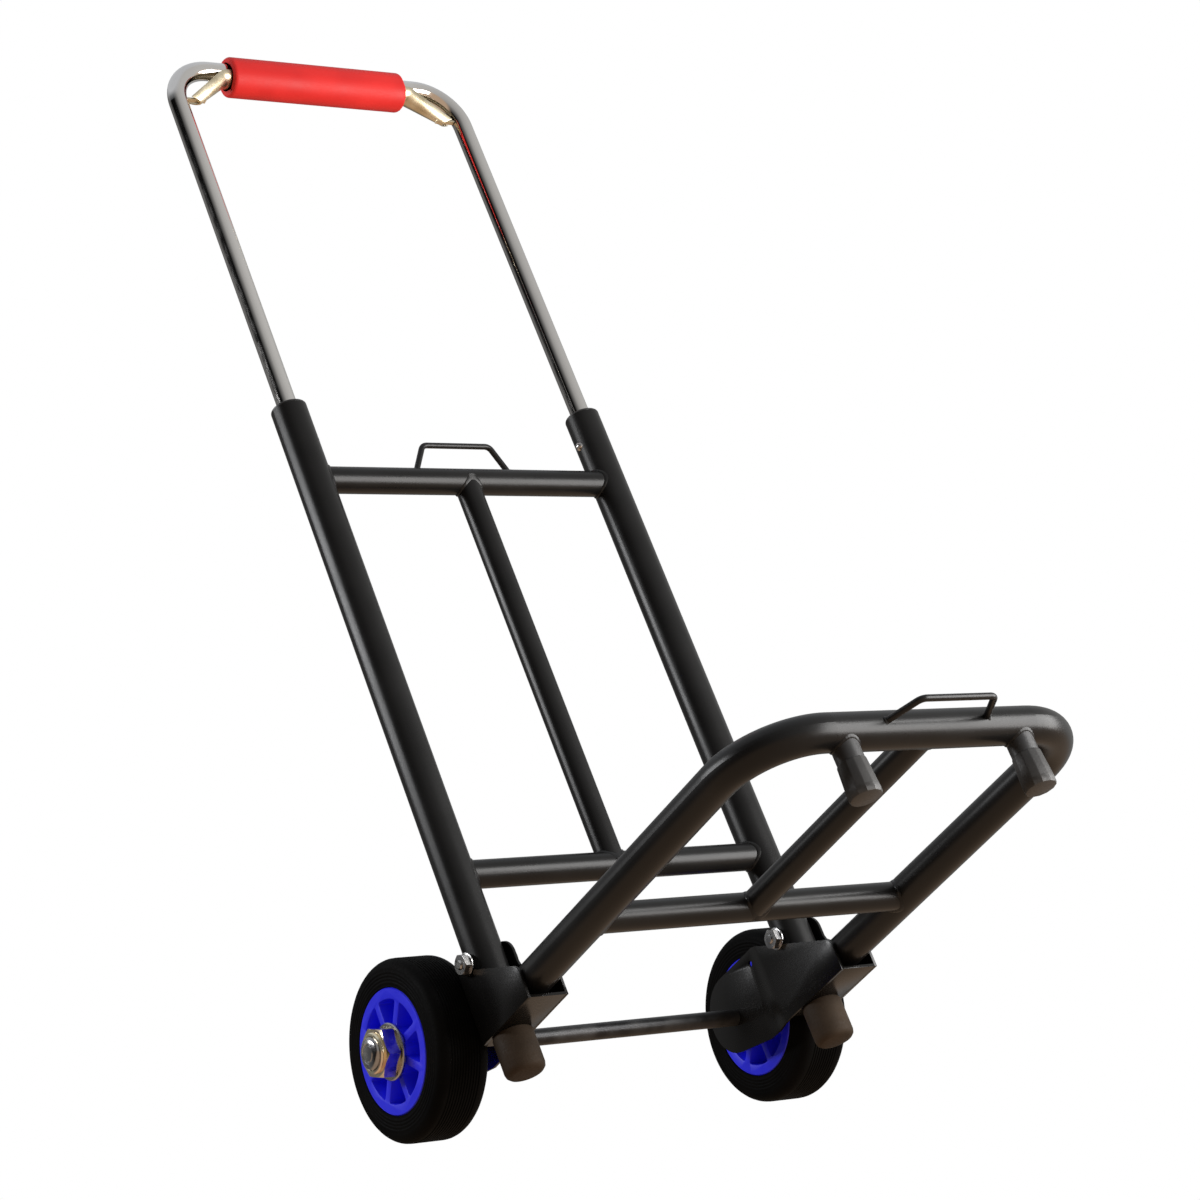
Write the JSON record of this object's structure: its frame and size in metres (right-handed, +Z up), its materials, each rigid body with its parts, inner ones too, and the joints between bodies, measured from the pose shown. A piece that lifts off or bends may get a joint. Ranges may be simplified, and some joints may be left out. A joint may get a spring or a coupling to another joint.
{
  "type": "folding luggage cart",
  "caption": "Folding luggage cart with a tubular upright frame, a fold-up platform, a telescopic U handle with squeeze release, and a pair of wheels on one axle.",
  "frame": {"origin": "middle of the cart's footprint, on the floor that its feet and wheels stand on", "axes": "+Z up along the upright frame; the platform reaches towards -Y and the wheels are at +Y; X runs across the cart, with the left side at -X"},
  "size_m": [0.384, 0.5168, 0.8918],
  "materials": {
    "powder_black": "satin gloss black powder coat",
    "axle_black": "thin black coat on bright rod",
    "chrome": "bright chrome plate",
    "grip_red": "soft red foam rubber with a low sheen",
    "zinc": "bright zinc plate",
    "nut_zinc": "yellow tinted zinc plate",
    "release_gold": "pale yellow zinc plate",
    "tyre": "matt black rubber",
    "rim_blue": "ultramarine moulded plastic",
    "foot_rubber": "dark brown grey rubber",
    "plastic_black": "black moulded plastic",
    "plastic_white": "natural nylon",
    "spring_steel": "plain spring steel"
  },
  "bodies": {
    "frame": {"side_tube_left": "powder_black", "side_tube_right": "powder_black", "upper_crossbar": "powder_black", "lower_crossbar": "powder_black", "centre_strut": "powder_black", "upper_hook": "powder_black", "bracket_left": "powder_black", "bracket_right": "powder_black", "guide_bush_left": "plastic_black", "guide_bush_right": "plastic_black", "tie_bolts": "zinc", "tie_nuts": "zinc", "tie_washers": "zinc", "pivot_pins": "powder_black", "rear_foot_left": "foot_rubber", "rear_foot_right": "foot_rubber", "cross_axle": "axle_black", "wheel_stub_left": "zinc", "wheel_stub_right": "zinc", "axle_washers": "zinc", "axle_nuts": "nut_zinc"},
    "platform": {"platform_loop": "powder_black", "platform_crossbar": "powder_black", "platform_strut": "powder_black", "platform_hook": "powder_black", "pivot_bushes": "plastic_white", "foot_stubs": "powder_black", "front_foot_left": "foot_rubber", "front_foot_right": "foot_rubber"},
    "handle": {"handle_loop": "chrome", "grip": "grip_red", "slider_plug_left": "plastic_white", "slider_plug_right": "plastic_white", "lock_button_left": "zinc", "lock_button_right": "zinc", "spring_seats": "zinc", "return_spring_left": "spring_steel", "return_spring_right": "spring_steel"},
    "release": {"release_bar": "release_gold", "pull_rod_left": "zinc", "pull_rod_right": "zinc"},
    "wheel_left": {"tyre_left": "tyre", "rim_left": "rim_blue", "hub_bushes_left": "plastic_white"},
    "wheel_right": {"tyre_right": "tyre", "rim_right": "rim_blue", "hub_bushes_right": "plastic_white"}
  },
  "joints": [
    {"name": "platform_fold", "type": "hinge", "parent": "frame", "child": "platform", "pos_m": [0, 0.08887, 0.047], "axis": [-1, 0, 0], "range_deg": [0, 90]},
    {"name": "handle_slide", "type": "slide", "parent": "frame", "child": "handle", "axis": [0, 0, 1], "range_m": [-0.28, 0], "deforming": ["lock_button_left", "lock_button_right"]},
    {"name": "release_squeeze", "type": "slide", "parent": "handle", "child": "release", "axis": [0, 0, 1], "range_m": [0, 0.0045], "stiffness_N_per_m": 900, "springref_m": -0.006, "deforming": ["return_spring_left", "return_spring_right"]},
    {"name": "wheel_left_spin", "type": "hinge", "parent": "frame", "child": "wheel_left", "pos_m": [0, 0.19587, 0.0625], "axis": [1, 0, 0], "continuous": true},
    {"name": "wheel_right_spin", "type": "hinge", "parent": "frame", "child": "wheel_right", "pos_m": [0, 0.19587, 0.0625], "axis": [1, 0, 0], "continuous": true}
  ]
}
